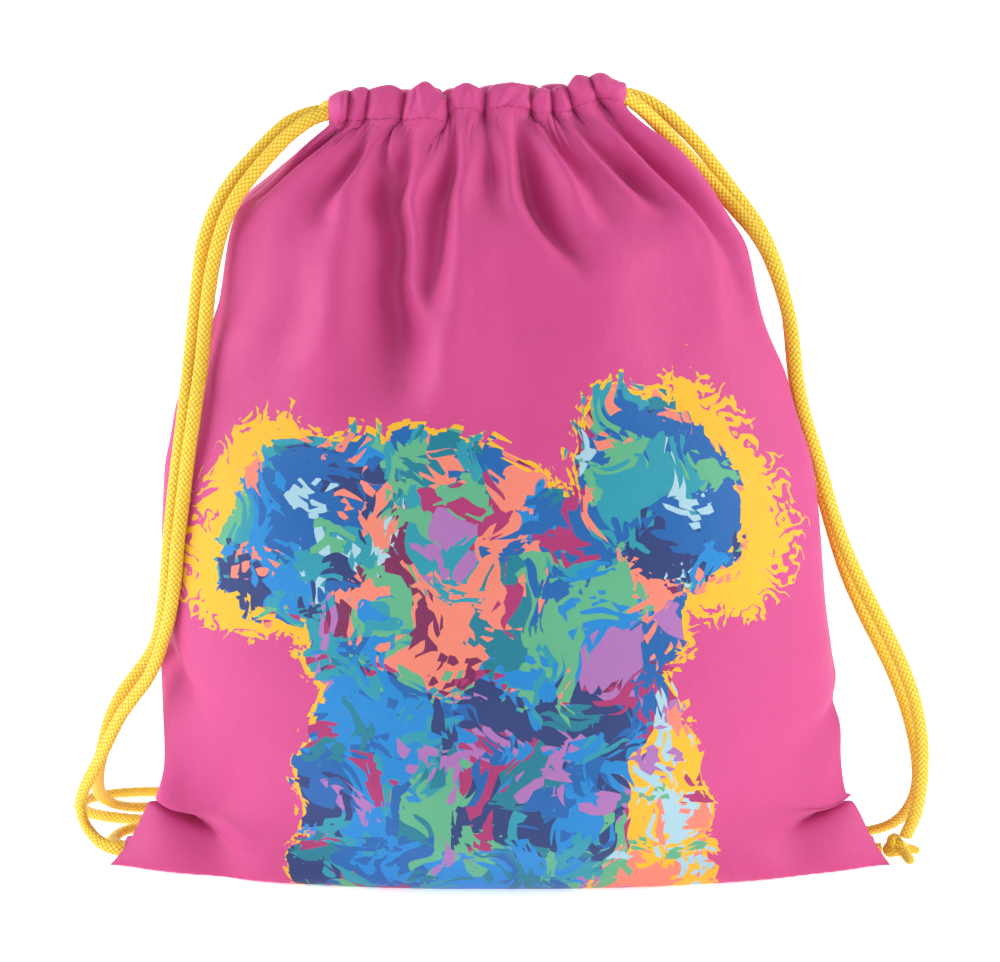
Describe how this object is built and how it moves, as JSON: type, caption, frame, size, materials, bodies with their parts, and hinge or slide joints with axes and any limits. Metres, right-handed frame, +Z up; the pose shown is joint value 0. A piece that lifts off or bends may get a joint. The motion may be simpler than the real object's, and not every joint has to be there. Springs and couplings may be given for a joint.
{
  "type": "drawstring backpack",
  "caption": "Sewn polyester drawstring bag, filled and standing, its mouth gathered by two braided cords that run down to the bottom corners as shoulder straps.",
  "frame": {"origin": "middle of the bottom of the bag, on the surface that it stands on", "axes": "+Z up, +X to the right as seen from the front, the printed front panel faces -Y"},
  "size_m": [0.3813, 0.1849, 0.3395],
  "materials": {
    "printed_cloth": "pink plain-weave polyester with a multicoloured print, soft sheen",
    "plain_cloth": "pink plain-weave polyester, soft sheen",
    "seam_thread": "overlocked cloth edge and thread",
    "stitch_thread": "polyester lockstitch thread",
    "loop_tape": "folded cloth tape",
    "cord": "yellow braided polyester cord, slight sheen"
  },
  "bodies": {
    "bag": {"front_panel": "printed_cloth", "back_panel": "plain_cloth", "left_side_seam": "seam_thread", "right_side_seam": "seam_thread", "bottom_seam": "seam_thread", "left_corner_loop": "loop_tape", "right_corner_loop": "loop_tape", "left_cord_front_strand": "cord", "left_cord_back_strand": "cord", "right_cord_front_strand": "cord", "right_cord_back_strand": "cord", "left_cord_bight": "cord", "right_cord_bight": "cord", "left_corner_knot": "cord", "right_corner_knot": "cord"},
    "front_lip": {"front_hem_casing": "plain_cloth", "front_hem_stitching": "stitch_thread", "left_cord_front_run": "cord", "right_cord_front_run": "cord"},
    "back_lip": {"back_hem_casing": "plain_cloth", "back_hem_stitching": "stitch_thread", "left_cord_back_run": "cord", "right_cord_back_run": "cord"}
  },
  "joints": [
    {"name": "front_mouth_open", "type": "slide", "parent": "bag", "child": "front_lip", "axis": [0, -1, 0], "range_m": [0, 0.025]},
    {"name": "back_mouth_open", "type": "slide", "parent": "bag", "child": "back_lip", "axis": [0, 1, 0], "range_m": [0, 0.025]}
  ],
  "couplings": [
    {"joint": "back_mouth_open", "follows": "front_mouth_open", "ratio": 1}
  ]
}
